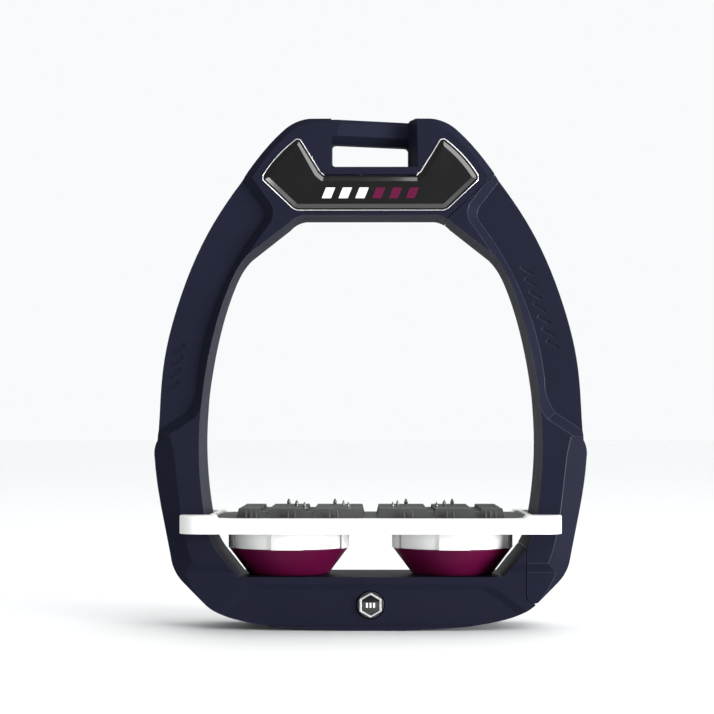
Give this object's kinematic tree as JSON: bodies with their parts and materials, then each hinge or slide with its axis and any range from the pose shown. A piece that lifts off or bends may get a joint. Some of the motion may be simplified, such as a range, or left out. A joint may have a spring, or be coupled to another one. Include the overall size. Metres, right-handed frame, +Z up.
{
  "type": "stirrup iron",
  "caption": "Safety stirrup with a C-shaped frame, a swing-open outer arm, a swept leather eye, badge plates and a sprung studded tread on elastomer cushions.",
  "frame": {"origin": "middle of the underside pad that the stirrup stands on", "axes": "+Z up towards the leather eye, +X towards the swing-open outer arm, +Y from the front face towards the rear face"},
  "size_m": [0.1588, 0.072, 0.1888],
  "materials": {
    "navy_composite": "fine moulded satin",
    "black_badge": "gloss",
    "chrome_trim": "polished",
    "light_inlay": "gloss",
    "burgundy_inlay": "gloss",
    "burgundy_elastomer": "satin moulded elastomer",
    "white_tread": "satin moulded",
    "grey_grip": "fine grained",
    "stud_steel": "turned",
    "steel": "zinc plated",
    "magnet": "nickel plated",
    "bronze": "sintered bronze",
    "brass": "turned brass"
  },
  "bodies": {
    "frame": {"frame_yoke": "navy_composite", "hinge_pin": "steel", "yoke_latch_magnets": "magnet", "badge_lozenges_light": "light_inlay", "badge_lozenges_dark": "burgundy_inlay", "button_inlays": "light_inlay", "cushion_lower_nuts": "brass", "base_screws": "steel", "badge_plate_front": "black_badge", "badge_trim_front": "chrome_trim", "base_button_front": "black_badge", "button_hex_rim_front": "chrome_trim", "button_hex_face_front": "black_badge", "badge_plate_rear": "black_badge", "badge_trim_rear": "chrome_trim", "base_button_rear": "black_badge", "button_hex_rim_rear": "chrome_trim", "button_hex_face_rear": "black_badge"},
    "outer_arm": {"outer_arm": "navy_composite", "hinge_bushes": "bronze", "arm_latch_magnets": "magnet"},
    "cushions": {"outer_cushion": "burgundy_elastomer", "inner_cushion": "burgundy_elastomer"},
    "tread": {"tread_frame": "white_tread", "tread_screws": "steel", "tread_washers": "steel", "cushion_upper_nuts": "brass", "grip_insert": "grey_grip", "grip_studs": "stud_steel"}
  },
  "joints": [
    {"name": "outer_arm_swing", "type": "hinge", "parent": "frame", "child": "outer_arm", "pos_m": [0.05965, 0, 0.0128], "axis": [0, 1, 0], "range_deg": [0, 65]},
    {"name": "cushion_squash", "type": "slide", "parent": "frame", "child": "cushions", "axis": [0, 0, -1], "range_m": [0, 0.004], "stiffness_N_per_m": 40000, "deforming": ["outer_cushion", "inner_cushion"]},
    {"name": "tread_tip", "type": "hinge", "parent": "cushions", "child": "tread", "pos_m": [0, 0, 0.027], "axis": [1, 0, 0], "range_deg": [-3.5, 3.5], "stiffness_Nm_per_rad": 5}
  ]
}
